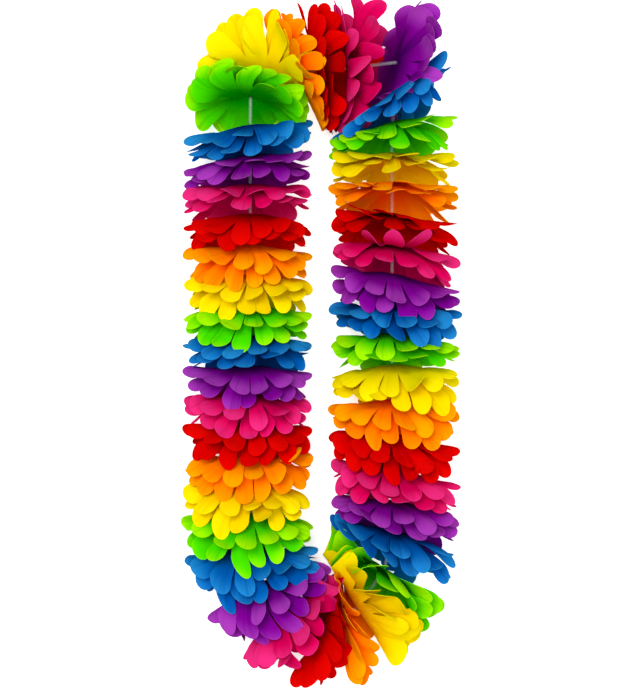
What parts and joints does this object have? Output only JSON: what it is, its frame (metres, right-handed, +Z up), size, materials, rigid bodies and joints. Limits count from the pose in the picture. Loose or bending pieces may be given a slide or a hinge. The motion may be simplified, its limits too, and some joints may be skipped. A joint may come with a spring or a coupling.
{
  "type": "flower lei",
  "caption": "Party lei of cloth blooms in rainbow order, threaded on a closed string with straw spacers, laid flat as a long loop with a narrow neck opening.",
  "frame": {"origin": "middle of the lei's bounding box, on the surface that it lies on", "axes": "+Z up, towards whoever looks down on the laid-out lei; +Y along the loop towards its head end; +X across the loop to the right"},
  "size_m": [0.198, 0.4858, 0.0854],
  "materials": {
    "petal_green": "matt woven polyester with a faint sheen",
    "petal_blue": "matt woven polyester with a faint sheen",
    "petal_purple": "matt woven polyester with a faint sheen",
    "petal_pink": "matt woven polyester with a faint sheen",
    "petal_red": "matt woven polyester with a faint sheen",
    "petal_orange": "matt woven polyester with a faint sheen",
    "petal_yellow": "matt woven polyester with a faint sheen",
    "straw": "milky translucent drinking-straw plastic on a thin white string"
  },
  "bodies": {
    "root": {"bloom_01": "petal_green", "bloom_02": "petal_blue", "bloom_03": "petal_purple", "bloom_04": "petal_pink", "bloom_05": "petal_red", "bloom_06": "petal_orange", "bloom_07": "petal_yellow", "bloom_08": "petal_green", "bloom_09": "petal_blue", "bloom_10": "petal_purple", "bloom_11": "petal_pink", "bloom_12": "petal_red", "bloom_13": "petal_orange", "bloom_14": "petal_yellow", "bloom_15": "petal_green", "bloom_16": "petal_blue", "bloom_17": "petal_purple", "bloom_18": "petal_pink", "bloom_19": "petal_red", "bloom_20": "petal_orange", "bloom_21": "petal_yellow", "bloom_22": "petal_green", "bloom_23": "petal_blue", "bloom_24": "petal_purple", "bloom_25": "petal_pink", "bloom_26": "petal_red", "bloom_27": "petal_orange", "bloom_28": "petal_yellow", "bloom_29": "petal_green", "bloom_30": "petal_blue", "bloom_31": "petal_purple", "bloom_32": "petal_pink", "bloom_33": "petal_red", "bloom_34": "petal_orange", "bloom_35": "petal_yellow", "bloom_36": "petal_green", "bloom_37": "petal_blue", "bloom_38": "petal_purple", "bloom_39": "petal_pink", "bloom_40": "petal_red", "bloom_41": "petal_orange", "bloom_42": "petal_yellow", "string_with_straws": "straw"}
  },
  "joints": []
}
